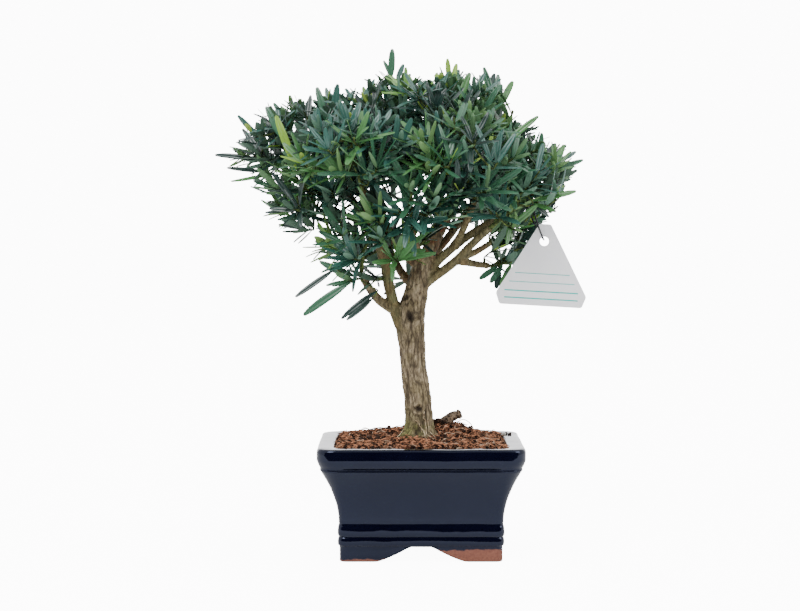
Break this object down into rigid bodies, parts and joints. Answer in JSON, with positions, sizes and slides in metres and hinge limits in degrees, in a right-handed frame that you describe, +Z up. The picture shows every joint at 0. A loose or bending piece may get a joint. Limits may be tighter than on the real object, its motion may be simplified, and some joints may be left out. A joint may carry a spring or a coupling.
{
  "type": "podocarpus bonsai",
  "caption": "Small podocarpus bonsai with a bare leaning trunk, spreading boughs of strap leaves, a glazed rectangular pot with feet, and a hanging plastic tag.",
  "frame": {"origin": "middle of the whole bonsai's outer box, at the height of the surface the pot stands on", "axes": "+Z up, -Y towards the pot's long front, +X to the right seen from the front"},
  "size_m": [0.277, 0.214, 0.376],
  "materials": {
    "glaze": "dark navy high gloss glaze",
    "soil": "reddish-brown coir and bark fibres",
    "bark": "fissured grey-brown bark",
    "foliage": "glossy dark blue-green leaves",
    "tag_plastic": "smooth pale grey plastic",
    "tie_wire": "dark plastic-covered wire"
  },
  "bodies": {
    "root": {"pot": "glaze", "soil": "soil", "trunk": "bark", "leader": "bark", "bough_left_upright": "bark", "bough_left_low": "bark", "bough_front_left": "bark", "bough_centre_left": "bark", "bough_left": "bark", "bough_back_left": "bark", "bough_back_right": "bark", "bough_front": "bark", "bough_right_upper": "bark", "bough_front_right": "bark", "bough_right_lower": "bark", "bough_right_low": "bark", "bough_right_middle": "bark", "bough_top_right": "bark", "foliage_top": "foliage", "foliage_top_left": "foliage", "foliage_top_right": "foliage", "foliage_left": "foliage", "foliage_right": "foliage", "foliage_middle_left": "foliage", "foliage_low_left": "foliage", "foliage_front": "foliage", "foliage_front_left": "foliage", "foliage_front_right": "foliage", "foliage_right_middle": "foliage", "foliage_low_right": "foliage", "foliage_back_left": "foliage", "foliage_back_right": "foliage", "tag": "tag_plastic", "tag_tie": "tie_wire"}
  },
  "joints": []
}
